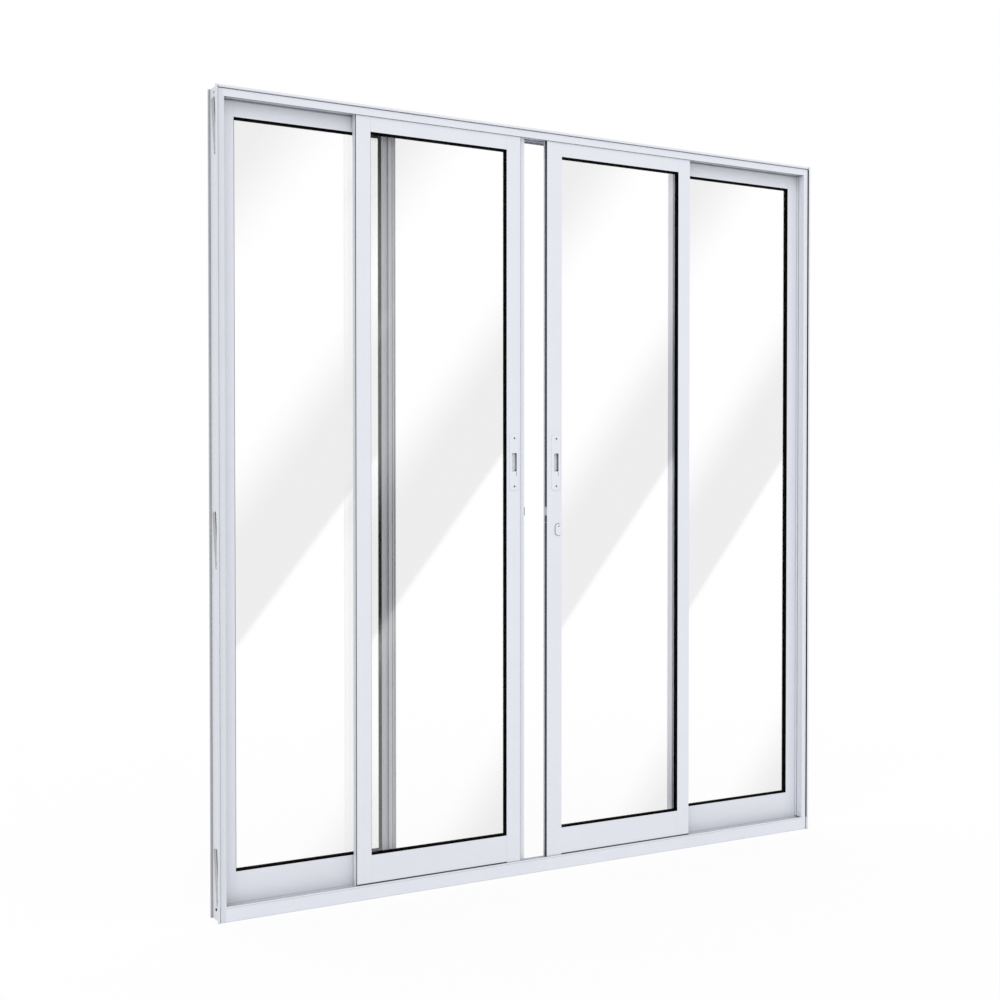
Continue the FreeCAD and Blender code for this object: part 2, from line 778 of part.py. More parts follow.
def latch():
    """The latch: a case behind the groove, a face plate flush in it, and a nose drawn back."""
    middle = leaf_thickness / 2
    plate = latch_plate((latch_face - leaf_wall, latch_face), 0)
    case = latch_plate((latch_face - latch_case_depth, latch_face - leaf_wall), latch_case_lap)
    floor_x = latch_face - latch_mouth_depth
    half_nose = latch_nose_thickness / 2
    half_mouth = half_nose + latch_nose_gap
    mouth = block((floor_x, latch_face), (middle - half_mouth, middle + half_mouth),
                  (latch_nose_bottom - latch_nose_gap, latch_nose_top + latch_nose_gap))
    nose = block((floor_x, latch_face), (middle - half_nose, middle + half_nose),
                 (latch_nose_bottom, latch_nose_top))
    return joined([joined([plate, case]).cut(mouth), nose])


def build():
    """Make every piece and write it."""
    jamb = left_jamb()
    anchors = wall_anchors()
    strip = jamb_strip()
    save("sill_track", sill_track())
    save("head_track", head_track())
    save("left_jamb", jamb)
    save("right_jamb", other_side(jamb))
    save("jamb_strips", Part.makeCompound([strip, other_side(strip)]))
    save("track_piles", Part.makeCompound(track_piles()))
    save("corner_screws", Part.makeCompound(corner_screws()))
    save("left_wall_anchors", Part.makeCompound(anchors))
    save("right_wall_anchors", Part.makeCompound([other_side(a) for a in anchors]))
    for name, shape in fixed_leaf().items():
        save("fixed_left_" + name, shape)
        save("fixed_right_" + name, other_side(shape))
    rest_left = closed_left - left_leaf_open_by
    for name, shape in sliding_leaf(True).items():
        save("sliding_left_" + name, moved(shape, rest_left, front_leaf_set_back))
    for name, shape in sliding_leaf(False).items():
        save("sliding_right_" + name, other_side(moved(shape, closed_left, front_leaf_set_back)))


build()
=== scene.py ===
import json
import math

import bmesh
import bpy
from mathutils import Euler, Matrix, Vector


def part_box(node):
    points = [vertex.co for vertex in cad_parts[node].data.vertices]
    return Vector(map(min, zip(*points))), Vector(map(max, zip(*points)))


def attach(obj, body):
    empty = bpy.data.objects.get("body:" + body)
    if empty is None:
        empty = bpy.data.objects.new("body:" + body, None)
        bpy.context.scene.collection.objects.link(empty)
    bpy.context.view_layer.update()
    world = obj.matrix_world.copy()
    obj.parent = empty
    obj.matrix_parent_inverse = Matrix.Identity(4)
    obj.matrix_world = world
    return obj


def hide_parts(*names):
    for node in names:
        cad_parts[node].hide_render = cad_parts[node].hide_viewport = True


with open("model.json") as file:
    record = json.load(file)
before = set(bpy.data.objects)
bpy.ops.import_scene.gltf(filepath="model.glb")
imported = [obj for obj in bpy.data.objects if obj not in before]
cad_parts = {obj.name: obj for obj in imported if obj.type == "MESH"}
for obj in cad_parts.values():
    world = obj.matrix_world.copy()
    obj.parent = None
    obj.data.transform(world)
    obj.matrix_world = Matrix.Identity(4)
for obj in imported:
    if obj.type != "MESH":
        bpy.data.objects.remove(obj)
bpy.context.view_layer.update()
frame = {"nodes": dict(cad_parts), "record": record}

# Everything is in metres, in the door's own frame: X to the right, Y to the back, Z up.
MM = 0.001

# The photograph's viewpoint: where the lens stands, how it is turned, and its focal length
CAMERA_PLACE = (-2.22786, -3.58683, 1.15412)
CAMERA_YAW = 30.16
CAMERA_PITCH = -0.99
SENSOR_WIDTH = 36.0
FOCAL_PIXELS = 1444.32
IMAGE_PIXELS = 1000.0

# Light
SKY_LEVEL = 0.92
KEY_LEVEL = 0.62
KEY_TURN = (52.0, 0.0, -42.0)
KEY_SOFTNESS = 50.0
FLOOR_COLOUR = (0.95, 0.95, 0.95, 1.0)
FLOOR_WHITENESS = 0.88
FLOOR_REACH = 40.0

# Finishes
COAT_COLOUR = (0.738, 0.757, 0.818, 1.0)
# A darker copy of the coat: painted shade on the left jamb's front and outer faces and on its groove strip
PAINTED_SHADE_COAT_COLOUR = (0.660, 0.678, 0.732, 1.0)
PULL_COLOUR = (0.745, 0.764, 0.824, 1.0)
# Painted light: the pull's pocket floor is lighter than the enamel
POCKET_PAINTED_LIGHT_COLOUR = (0.93, 0.94, 1.0, 1.0)
# Painted shade: the dark side walls of the pull's pocket
POCKET_SHADE_COLOUR = (0.075, 0.078, 0.110, 1.0)
RUBBER_COLOUR = (0.0018, 0.0018, 0.002, 1.0)
PILE_COLOUR = (0.005, 0.005, 0.006, 1.0)
TRACK_PILE_COLOUR = (0.27, 0.28, 0.32, 1.0)
# Painted shade: the dark strip at the foot of each sliding leaf
FOOT_SHADE_COLOUR = (0.07, 0.07, 0.078, 1.0)
GROOVE_PILE_COLOUR = (0.095, 0.100, 0.130, 1.0)
# Painted shade: the grey strip in the corner of each jamb's outer channel
CORNER_SHADE_COLOUR = (0.40, 0.40, 0.41, 1.0)
DARK_STEEL_COLOUR = (0.03, 0.03, 0.033, 1.0)
NYLON_COLOUR = (0.76, 0.75, 0.71, 1.0)
ZINC_COLOUR = (0.60, 0.61, 0.63, 1.0)
STRAP_COLOUR = (0.47, 0.48, 0.50, 1.0)
# Painted shade: the dark edges of the wall straps
STRAP_EDGE_SHADE_COLOUR = (0.10, 0.10, 0.11, 1.0)
GLASS_IOR = 1.25
GLOSS_IOR = 2.0
GLASS_THROUGH = 0.72
SHEEN_GREY = 0.85

# Painted reflection, slanting grey bands tinted into each pane: where each meets the pane's left edge, as a
# height in the door's frame, and how grey the pane is there
SHEEN_SLOPE = 1.24
SHEEN_BANDS = [(-0.38, 1.0), (-0.04, 0.0), (0.68, 0.0), (0.71, 1.0), (0.935, 1.0), (1.22, 0.0), (1.64, 0.0),
               (2.0, 1.0)]
# The same for the gloss that veils what is behind the pane: heights, and how strong it is there
GLOSS_BANDS = [(-0.38, 0.0), (-0.04, 0.6), (0.54, 0.6), (0.645, 1.0), (0.74, 0.0), (0.935, 0.0), (1.22, 0.6),
               (1.46, 0.6), (1.51, 0.9), (1.56, 0.6), (1.68, 0.6), (2.08, 0.0)]

# Noise: cells a metre of the coat's clouds, of its orange peel, of the marks of handling and of the steel's
# blotches; the middle part of a noise that is used; and how far the steel's tone and gloss stray
CLOUD_SCALE = 9.0
PEEL_SCALE = 900.0
HANDLED_SCALE = 38.0
BLOTCH_SCALE = 120.0
NOISE_MIDDLE = (0.3, 0.7)
STEEL_TONE = (0.86, 1.08)
STEEL_SMOOTHER = 0.08
STEEL_ROUGHER = 0.10

# Painted shade in the narrow gaps: how wide a gap counts, and how dark it gets
GAP_WIDTH = 5.5 * MM
GAP_TONE = 0.42
PULL_GAP_TONE = 0.95
SHADED_GAP_TONE = 0.80
GAP_SAMPLES = 16
GAP_OPENNESS = (0.15, 0.85)

# Edge radii
PROFILE_RADIUS = 0.35 * MM
PLATE_RADIUS = 1.2 * MM
MOULDED_RADIUS = 0.2 * MM
COVER_RADIUS = 0.3 * MM
RUBBER_RADIUS = 0.45 * MM
METAL_RADIUS = 0.3 * MM

# Facets across a rounded edge, and round the keyway
EDGE_FACETS = 2
PLATE_FACETS = 4
COVER_FACETS = 8
KEYWAY_FACETS = 32

# Joining and edge finding
MERGE = 0.001 * MM
FLAT = math.radians(2.0)
SHARP = math.radians(28.0)
SHORT_EDGE = 2.5 * MM
SMALL_EDGE = 0.2 * MM

# How much of a face's direction has to point one way for the face to count as turned that way
MOSTLY = 0.9
LARGELY = 0.7
HALFWAY = 0.5
ALONG = 0.99

# Places on the solids: the pull's plate and pocket, the lock's cover, the jamb's web and flange, the gasket's
# edge, the fixed hook, the tongue, and the height under which a corner screw is one of the dark ones
PLATE_CORNER = 9.1 * MM
PLATE_MARGIN = 7.0 * MM
POCKET_DEPTH = 8.0 * MM
COVER_CORNER = 8.0 * MM
KEYWAY_RISE = 10.0 * MM
WEB_INSET = 8.0 * MM
FLANGE_THICKNESS = 1.6 * MM
GASKET_SIGHT = 11.0 * MM
HOOK_INSET = 12.6 * MM
HOOK_REACH = 13.2 * MM
HOOK_END = 9.7 * MM
TONGUE_REACH = 18.0 * MM
LOW_SCREWS = 1.0

# Small parts that the solids leave out
# A dark cross of painted shade on each pull screw's head, for the shade in its recess
RECESS_LENGTH = 5.3 * MM
RECESS_WIDTH = 2.5 * MM
RECESS_PROUD = 0.04 * MM
# The seal under the lock's cover, which also gives painted shade round it, and the black disc of painted
# shade in its keyhole
COVER_RIM_MARGIN = 1.05 * MM
COVER_RIM_THICKNESS = 0.6 * MM
KEYWAY_RADIUS = 1.9 * MM
KEYWAY_SET_BACK = 0.5 * MM
KEYWAY_DEPTH = 2.0 * MM
# The dark strip of painted shade at the foot of each sliding leaf
FOOT_SHADE_THICKNESS = 0.6 * MM
FOOT_SHADE_HEIGHT = 3.2 * MM
FOOT_SHADE_CLEARANCE = 0.2 * MM
GASKET_SWELL = 1.8 * MM
# The dark lines of painted shade along the hook and the edge of each fixed leaf's interlock stile
INTERLOCK_SHADE_WIDTH = 0.9 * MM
INTERLOCK_SHADE_THICKNESS = 0.3 * MM
EDGE_SHADE_INSET = 3.4 * MM
# The grey strip of painted shade in each jamb's rear corner
CORNER_SHADE_WIDTH = 4.5 * MM
CORNER_SHADE_THICKNESS = 1.5 * MM
# A thin black line of painted shade beside the left leaf's tongue
SHADE_LINE_PROUD = 0.6 * MM
SHADE_LINE_INSET = 0.1 * MM
SHADE_LINE_DEPTH = 1.5 * MM


def new_tree(name, inputs, outputs):
    """A shader node group with the named sockets."""
    tree = bpy.data.node_groups.new(name, "ShaderNodeTree")
    for label, kind, value in inputs:
        socket = tree.interface.new_socket(name=label, in_out="INPUT", socket_type=kind)
        socket.default_value = value
    for label, kind in outputs:
        tree.interface.new_socket(name=label, in_out="OUTPUT", socket_type=kind)
    return tree


def add(tree, kind, **settings):
    """A node in a tree, with its properties set."""
    node = tree.nodes.new(kind)
    for label, value in settings.items():
        setattr(node, label, value)
    return node


def noise(tree, place, scale, detail, roughness):
    """A noise pattern at a place, with its scale in cells a metre."""
    node = add(tree, "ShaderNodeTexNoise")
    node.inputs["Scale"].default_value = scale
    node.inputs["Detail"].default_value = detail
    node.inputs["Roughness"].default_value = roughness
    tree.links.new(place, node.inputs["Vector"])
    return node.outputs["Fac"]


def maths(tree, operation, first, second):
    """The result of a maths operation on two sockets or numbers."""
    node = add(tree, "ShaderNodeMath", operation=operation)
    for socket, value in zip(node.inputs, (first, second)):
        if isinstance(value, (int, float)):
            socket.default_value = value
        else:
            tree.links.new(value, socket)
    return node.outputs[0]


def spread(tree, fac, low, high):
    """A factor's middle range stretched to run from low to high."""
    node = add(tree, "ShaderNodeMapRange")
    node.inputs["From Min"].default_value, node.inputs["From Max"].default_value = NOISE_MIDDLE
    for socket, value in (("To Min", low), ("To Max", high)):
        if isinstance(value, (int, float)):
            node.inputs[socket].default_value = value
        else:
            tree.links.new(value, node.inputs[socket])
    tree.links.new(fac, node.inputs["Value"])
    return node.outputs["Result"]


def scaled_colour(tree, colour, factor):
    """A colour brightened or darkened by a factor."""
    node = add(tree, "ShaderNodeVectorMath", operation="SCALE")
    tree.links.new(colour, node.inputs[0])
    tree.links.new(factor, node.inputs["Scale"])
    return node.outputs[0]


def grain_group():
    """Powder coat and moulded plastic: faint clouds of tone, painted shade in the narrow gaps, a fine skin,
    and its gloss.
    """
    tree = new_tree("coated_skin", [
        ("Color", "NodeSocketColor", (1.0, 1.0, 1.0, 1.0)),
        ("Tone Spread", "NodeSocketFloat", 0.012),
        ("Roughness", "NodeSocketFloat", 0.4),
        ("Gloss Spread", "NodeSocketFloat", 0.05),
        ("Gap Tone", "NodeSocketFloat", GAP_TONE),
    ], [("Color", "NodeSocketColor"), ("Roughness", "NodeSocketFloat"), ("Height", "NodeSocketFloat")])
    start = add(tree, "NodeGroupInput")
    end = add(tree, "NodeGroupOutput")
    place = add(tree, "ShaderNodeTexCoord").outputs["Object"]
    clouds = noise(tree, place, CLOUD_SCALE, 4.0, 0.55)
    peel = noise(tree, place, PEEL_SCALE, 2.0, 0.5)
    handled = noise(tree, place, HANDLED_SCALE, 3.0, 0.6)
    darker = maths(tree, "SUBTRACT", 1.0, start.outputs["Tone Spread"])
    lighter = maths(tree, "ADD", 1.0, start.outputs["Tone Spread"])
    tone = spread(tree, clouds, darker, lighter)
    # Painted shade: the colour darkens in narrow gaps and corners, where less light reaches
    gaps = add(tree, "ShaderNodeAmbientOcclusion", samples=GAP_SAMPLES)
    gaps.inputs["Distance"].default_value = GAP_WIDTH
    gap_shade = add(tree, "ShaderNodeMapRange", interpolation_type="SMOOTHSTEP")
    gap_shade.inputs["From Min"].default_value, gap_shade.inputs["From Max"].default_value = GAP_OPENNESS
    tree.links.new(start.outputs["Gap Tone"], gap_shade.inputs["To Min"])
    tree.links.new(gaps.outputs["AO"], gap_shade.inputs["Value"])
    shade = maths(tree, "MULTIPLY", tone, gap_shade.outputs["Result"])
    tree.links.new(scaled_colour(tree, start.outputs["Color"], shade), end.inputs["Color"])
    low = maths(tree, "SUBTRACT", start.outputs["Roughness"], start.outputs["Gloss Spread"])
    high = maths(tree, "ADD", start.outputs["Roughness"], start.outputs["Gloss Spread"])
    tree.links.new(spread(tree, handled, low, high), end.inputs["Roughness"])
    tree.links.new(peel, end.inputs["Height"])
    return tree


def brushed_group():
    """Plated or rolled steel: long drawn lines over soft blotches."""
    tree = new_tree("drawn_metal", [
        ("Color", "NodeSocketColor", (0.6, 0.6, 0.6, 1.0)),
        ("Stretch", "NodeSocketVector", (60.0, 900.0, 60.0)),
        ("Roughness", "NodeSocketFloat", 0.35),
    ], [("Color", "NodeSocketColor"), ("Roughness", "NodeSocketFloat"), ("Height", "NodeSocketFloat")])
    start = add(tree, "NodeGroupInput")
    end = add(tree, "NodeGroupOutput")
    place = add(tree, "ShaderNodeTexCoord").outputs["Object"]
    stretched = add(tree, "ShaderNodeVectorMath", operation="MULTIPLY")
    tree.links.new(place, stretched.inputs[0])
    tree.links.new(start.outputs["Stretch"], stretched.inputs[1])
    lines = noise(tree, stretched.outputs[0], 1.0, 3.0, 0.5)
    blotches = noise(tree, place, BLOTCH_SCALE, 3.0, 0.6)
    tone = spread(tree, blotches, *STEEL_TONE)
    tree.links.new(scaled_colour(tree, start.outputs["Color"], tone), end.inputs["Color"])
    low = maths(tree, "SUBTRACT", start.outputs["Roughness"], STEEL_SMOOTHER)
    high = maths(tree, "ADD", start.outputs["Roughness"], STEEL_ROUGHER)
    tree.links.new(spread(tree, lines, low, high), end.inputs["Roughness"])
    tree.links.new(lines, end.inputs["Height"])
    return tree


def banded(tree, height, bands):
    """A soft level that changes with height, from a list of heights and levels."""
    low, high = bands[0][0], bands[-1][0]
    share = maths(tree, "DIVIDE", maths(tree, "SUBTRACT", height, low), high - low)
    ramp = add(tree, "ShaderNodeValToRGB")
    ramp.color_ramp.interpolation = "EASE"
    stops = ramp.color_ramp.elements
    while len(stops) < len(bands):
        stops.new(0.5)
    for stop, (place, level) in zip(stops, bands):
        stop.position = (place - low) / (high - low)
        stop.color = (level, level, level, 1.0)
    tree.links.new(share, ramp.inputs["Fac"])
    return ramp.outputs["Color"]


def sheen_group():
    """Painted reflection: the soft slanting bands of grey tinted into each pane, and the bands of gloss that
    lie over it, from its left edge.
    """
    tree = new_tree("pane_sheen", [
        ("Left Edge", "NodeSocketFloat", 0.0),
        ("Grey", "NodeSocketColor", (SHEEN_GREY, SHEEN_GREY, SHEEN_GREY, 1.0)),
    ], [("Color", "NodeSocketColor"), ("Gloss", "NodeSocketFloat")])
    start = add(tree, "NodeGroupInput")
    end = add(tree, "NodeGroupOutput")
    place = add(tree, "ShaderNodeTexCoord").outputs["Object"]
    parts = add(tree, "ShaderNodeSeparateXYZ")
    tree.links.new(place, parts.inputs[0])
    across = maths(tree, "SUBTRACT", parts.outputs["X"], start.outputs["Left Edge"])
    slanted = maths(tree, "SUBTRACT", parts.outputs["Z"], maths(tree, "MULTIPLY", across, SHEEN_SLOPE))
    mix = add(tree, "ShaderNodeMix", data_type="RGBA")
    mix.inputs["A"].default_value = (1.0, 1.0, 1.0, 1.0)
    tree.links.new(banded(tree, slanted, SHEEN_BANDS), mix.inputs["Factor"])
    tree.links.new(start.outputs["Grey"], mix.inputs["B"])
    tree.links.new(mix.outputs["Result"], end.inputs["Color"])
    tree.links.new(banded(tree, slanted, GLOSS_BANDS), end.inputs["Gloss"])
    return tree


GROUPS = {"coated": grain_group(), "drawn": brushed_group(), "sheen": sheen_group()}


def new_material(name):
    """A material with its Principled shader, ready for more nodes."""
    material = bpy.data.materials.new(name)
    material.use_nodes = True
    return material, material.node_tree, material.node_tree.nodes["Principled BSDF"]


def placed_group(tree, name, values):
    """A shared group in a material, with this material's own values."""
    node = add(tree, "ShaderNodeGroup", node_tree=GROUPS[name])
    for label, value in values.items():
        node.inputs[label].default_value = value
    return node


def dressed(name, group, values, bump, **shader):
    """A solid material from a shared group and the shader's own values."""
    material, tree, principled = new_material(name)
    skin = placed_group(tree, group, values)
    tree.links.new(skin.outputs["Color"], principled.inputs["Base Color"])
    tree.links.new(skin.outputs["Roughness"], principled.inputs["Roughness"])
    height = add(tree, "ShaderNodeBump")
    height.inputs["Strength"].default_value = 1.0
    height.inputs["Distance"].default_value = bump
    tree.links.new(skin.outputs["Height"], height.inputs["Height"])
    tree.links.new(height.outputs["Normal"], principled.inputs["Normal"])
    for label, value in shader.items():
        principled.inputs[label.replace("_", " ")].default_value = value
    return material


def glass(name, left_edge):
    """Clear float glass. Rays that only carry light to what is behind it lose some on the way."""
    material, tree, principled = new_material(name)
    bands = placed_group(tree, "sheen", {"Left Edge": left_edge})
    # The grey bands in the base colour are painted reflection
    tree.links.new(bands.outputs["Color"], principled.inputs["Base Color"])
    tree.links.new(bands.outputs["Gloss"], principled.inputs["Coat Weight"])
    principled.inputs["Coat IOR"].default_value = GLOSS_IOR
    principled.inputs["Coat Roughness"].default_value = 0.0
    principled.inputs["Metallic"].default_value = 0.0
    principled.inputs["Transmission Weight"].default_value = 1.0
    principled.inputs["Roughness"].default_value = 0.0
    principled.inputs["IOR"].default_value = GLASS_IOR
    path = add(tree, "ShaderNodeLightPath")
    lighting = maths(tree, "MAXIMUM", path.outputs["Is Shadow Ray"], path.outputs["Is Diffuse Ray"])
    film = add(tree, "ShaderNodeBsdfTransparent")
    film.inputs["Color"].default_value = (GLASS_THROUGH, GLASS_THROUGH, GLASS_THROUGH, 1.0)
    mix = add(tree, "ShaderNodeMixShader")
    tree.links.new(lighting, mix.inputs[0])
    tree.links.new(principled.outputs[0], mix.inputs[1])
    tree.links.new(film.outputs[0], mix.inputs[2])
    tree.links.new(mix.outputs[0], tree.nodes["Material Output"].inputs["Surface"])
    return material


def place_piece(bm, name, body, materials, replaced=()):
    """A finished mesh as a piece of the door, on its body and with its finish."""
    mesh = bpy.data.meshes.new(name)
    bm.to_mesh(mesh)
    bm.free()
    for material in materials:
        mesh.materials.append(material)
    piece = bpy.data.objects.new(name, mesh)
    bpy.context.scene.collection.objects.link(piece)
    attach(piece, body)
    if replaced:
        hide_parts(*replaced)
    return piece


def node_mesh(node):
    """A copy of a node's mesh, joined up and with its flat faces whole."""
    bm = bmesh.new()
    bm.from_mesh(frame["nodes"][node].data)
    bmesh.ops.remove_doubles(bm, verts=bm.verts, dist=MERGE)
    bmesh.ops.dissolve_limit(bm, angle_limit=FLAT, verts=bm.verts, edges=bm.edges)
    return bm


def round_over(bm, edges, radius, facets):
    """Rounds the given edges of a mesh to a radius."""
    bmesh.ops.bevel(bm, geom=edges, offset=radius, offset_type="OFFSET", affect="EDGES", segments=facets,
                    profile=0.5, clamp_overlap=True, material=-1)


def ease_edges(bm, radius, facets=EDGE_FACETS, shortest=SHORT_EDGE):
    """Rounds the sharp edges of a mesh, as a die or a mould leaves them."""
    sharp = [e for e in bm.edges if e.calc_face_angle(0.0) > SHARP and e.calc_length() > shortest]
    round_over(bm, sharp, radius, facets)


def even_shading(piece):
    """Smooth shading that leaves the flat faces flat."""
    for face in piece.data.polygons:
        face.use_smooth = True
    modifier = piece.modifiers.new("even_shading", "WEIGHTED_NORMAL")
    modifier.keep_sharp = True
    modifier.weight = 80
    return piece


def bar(bm, low, high):
    """A box between two corners, added to a mesh. Returns its vertices."""
    middle = (Vector(low) + Vector(high)) / 2
    size = Vector(high) - Vector(low)
    place = Matrix.Translation(middle) @ Matrix.Diagonal((*size, 1.0))
    return bmesh.ops.create_cube(bm, size=1.0, matrix=place)["verts"]


def round_corners(bm, radius, facets):
    """Rounds the corners of a plate seen from the front: its edges that run along Y."""
    along_y = [e for e in bm.edges if abs((e.verts[0].co - e.verts[1].co).normalized().y) > ALONG]
    round_over(bm, along_y, radius, facets)


def eased_node(node, radius, material, suffix, shortest=SHORT_EDGE):
    """A node's own shape with its edges rounded, in its place."""
    bm = node_mesh(node)
    ease_edges(bm, radius, shortest=shortest)
    piece = place_piece(bm, node + suffix, body_of[node], [material], [node])
    return even_shading(piece)


body_of = {node: body for body, nodes in frame["record"]["behaviour"]["bodies"].items() for node in nodes}

coat = dressed("powder_coat", "coated",
               {"Color": COAT_COLOUR, "Tone Spread": 0.010, "Roughness": 0.42, "Gloss Spread": 0.04},
               0.02 * MM)
# The coat with painted shade, for the faces of the left jamb
painted_shade_coat = dressed("powder_coat_in_shade", "coated",
                      {"Color": PAINTED_SHADE_COAT_COLOUR, "Tone Spread": 0.010, "Roughness": 0.42,
                       "Gloss Spread": 0.04, "Gap Tone": SHADED_GAP_TONE},
                      0.02 * MM)
# Painted light: a lighter enamel for the pocket's floor
painted_light_pocket_floor = dressed("pocket_enamel", "coated",
                       {"Color": POCKET_PAINTED_LIGHT_COLOUR, "Tone Spread": 0.008, "Roughness": 0.35, "Gloss Spread": 0.05,
                        "Gap Tone": 1.0},
                       0.01 * MM)
# Painted shade at the foot of each sliding leaf
wiper_rubber = dressed("wiper_rubber", "coated",
                       {"Color": FOOT_SHADE_COLOUR, "Tone Spread": 0.1, "Roughness": 0.7, "Gloss Spread": 0.05},
                       0.02 * MM, Specular_IOR_Level=0.2)
# Painted shade: a dark finish for the pocket's side walls
pocket_shade_liner = dressed("pocket_liner", "coated",
                {"Color": POCKET_SHADE_COLOUR, "Tone Spread": 0.05, "Roughness": 0.5, "Gloss Spread": 0.05},
                0.01 * MM)
pull_plastic = dressed("pull_enamel", "coated",
                       {"Color": PULL_COLOUR, "Tone Spread": 0.008, "Roughness": 0.30, "Gloss Spread": 0.05,
                        "Gap Tone": PULL_GAP_TONE},
                       0.01 * MM)
rubber = dressed("gasket_rubber", "coated",
                 {"Color": RUBBER_COLOUR, "Tone Spread": 0.15, "Roughness": 0.70, "Gloss Spread": 0.08},
                 0.03 * MM, Specular_IOR_Level=0.04)
pile = dressed("grey_pile", "coated",
               {"Color": PILE_COLOUR, "Tone Spread": 0.2, "Roughness": 0.9, "Gloss Spread": 0.05},
               0.2 * MM, Specular_IOR_Level=0.1)
track_pile = dressed("track_pile", "coated",
                     {"Color": TRACK_PILE_COLOUR, "Tone Spread": 0.2, "Roughness": 0.9, "Gloss Spread": 0.05,
                      "Gap Tone": SHADED_GAP_TONE},
                     0.2 * MM, Specular_IOR_Level=0.1)
groove_pile = dressed("groove_pile", "coated",
                      {"Color": GROOVE_PILE_COLOUR, "Tone Spread": 0.2, "Roughness": 0.9,
                       "Gloss Spread": 0.05},
                      0.2 * MM, Specular_IOR_Level=0.1)
# Painted shade for the corner between each jamb's web and rear flange
corner_shade = dressed("foam_tape", "coated",
               {"Color": CORNER_SHADE_COLOUR, "Tone Spread": 0.06, "Roughness": 0.85, "Gloss Spread": 0.05},
               0.1 * MM, Specular_IOR_Level=0.2)
nylon = dressed("roller_nylon", "coated",
                {"Color": NYLON_COLOUR, "Tone Spread": 0.03, "Roughness": 0.5, "Gloss Spread": 0.05},
                0.01 * MM)
zinc = dressed("zinc_plate", "drawn", {"Color": ZINC_COLOUR, "Roughness": 0.34}, 0.01 * MM, Metallic=1.0)
strap = dressed("rolled_strap", "drawn", {"Color": STRAP_COLOUR, "Roughness": 0.45}, 0.02 * MM, Metallic=1.0)
# Painted shade for the straps' edges
strap_edge_shade = dressed("sheared_edge", "drawn", {"Color": STRAP_EDGE_SHADE_COLOUR, "Roughness": 0.55}, 0.02 * MM,
                     Metallic=1.0)
dark_steel = dressed("dark_steel", "drawn", {"Color": DARK_STEEL_COLOUR, "Roughness": 0.55}, 0.01 * MM,
                     Metallic=0.3)


def profiles():
    """Every white extrusion of the frame and the leaves."""
    slots = {row["node"]: row["material_slot"] for row in frame["record"]["subparts"]}
    for node, slot in slots.items():
        if slot in ("frame_white", "leaf_white"):
            piece = eased_node(node, PROFILE_RADIUS, coat, "_profile")
            if node == "left_jamb":
                shade_outer_faces(piece)


def shade_outer_faces(piece):
    """Painted shade: the left jamb's front and its outer side take a darker copy of the coat than the other
    profiles.
    """
    piece.data.materials.append(painted_shade_coat)
    for face in piece.data.polygons:
        if min(face.normal.x, face.normal.y) < -HALFWAY:
            face.material_index = 1


def pane_gasket(leaf):
    """The black rubber round a pane, a little fuller along the top and the bottom rail."""
    node = leaf + "_gasket"
    bm = node_mesh(node)
    low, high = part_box(leaf + "_glass")
    for vert in bm.verts:
        if abs(vert.co.z - low.z - GASKET_SIGHT) < MERGE:
            vert.co.z += GASKET_SWELL
        elif abs(high.z - vert.co.z - GASKET_SIGHT) < MERGE:
            vert.co.z -= GASKET_SWELL
    ease_edges(bm, RUBBER_RADIUS)
    even_shading(place_piece(bm, node + "_lip", body_of[node], [rubber], [node]))


def interlock_shade_lines(side, outward):
    """Painted shade: thin black lines along the hook and the edge of a fixed leaf's interlock stile."""
    node = "fixed_" + side + "_interlock_stile"
    low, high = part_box(node)
    edge = high.x if side == "left" else low.x
    hook_z = (low.z + HOOK_END + INTERLOCK_SHADE_WIDTH, high.z - HOOK_END)
    stile_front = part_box("fixed_" + side + "_top_rail")[0].y
    bm = bmesh.new()
    for inset, face, z in ((HOOK_INSET, low.y, hook_z), (HOOK_INSET + HOOK_REACH - INTERLOCK_SHADE_WIDTH, low.y, hook_z),
                           (EDGE_SHADE_INSET, stile_front, (low.z, high.z))):
        start = edge - outward * inset
        ends = sorted((start, start - outward * INTERLOCK_SHADE_WIDTH))
        bar(bm, (ends[0], face - INTERLOCK_SHADE_THICKNESS, z[0]), (ends[1], face, z[1]))
    even_shading(place_piece(bm, "fixed_" + side + "_interlock_seals", "frame", [rubber]))


def gaskets():
    """The black rubber round each pane, dark lines of painted shade along the interlocks, and the strips in
    the grooves of the jambs, the left one in the coat with painted shade.
    """
    for leaf in ("fixed_left", "fixed_right", "sliding_left", "sliding_right"):
        pane_gasket(leaf)
    interlock_shade_lines("left", 1.0)
    interlock_shade_lines("right", -1.0)
    strips = eased_node("jamb_strips", METAL_RADIUS, rubber, "_lip")
    # The left jamb's groove strip takes the coat with painted shade, the right one stays black rubber
    strips.data.materials.append(painted_shade_coat)
    for face in strips.data.polygons:
        face.material_index = 1 if face.center.x < 0.0 else 0


def piles():
    """The brush strips in the outer stiles, in the tracks and in the meeting groove."""
    edge_brush("sliding_left", "low")
    edge_brush("sliding_right", "high")
    eased_node("track_piles", METAL_RADIUS, track_pile, "_brush")
    eased_node("sliding_right_groove_pile", METAL_RADIUS, groove_pile, "_brush")


def edge_brush(leaf, outer):
    """The brush in the outer side of a sliding leaf, with its tips level with the side of the stile."""
    node = leaf + "_edge_pile"
    bm = node_mesh(node)
    brush_low, brush_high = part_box(node)
    stile_low, stile_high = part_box(leaf + "_interlock_stile")
    tips, side = (brush_low.x, stile_low.x) if outer == "low" else (brush_high.x, stile_high.x)
    for vert in bm.verts:
        if abs(vert.co.x - tips) < MERGE:
            vert.co.x = side
    ease_edges(bm, METAL_RADIUS)
    even_shading(place_piece(bm, node + "_brush", body_of[node], [pile], [node]))


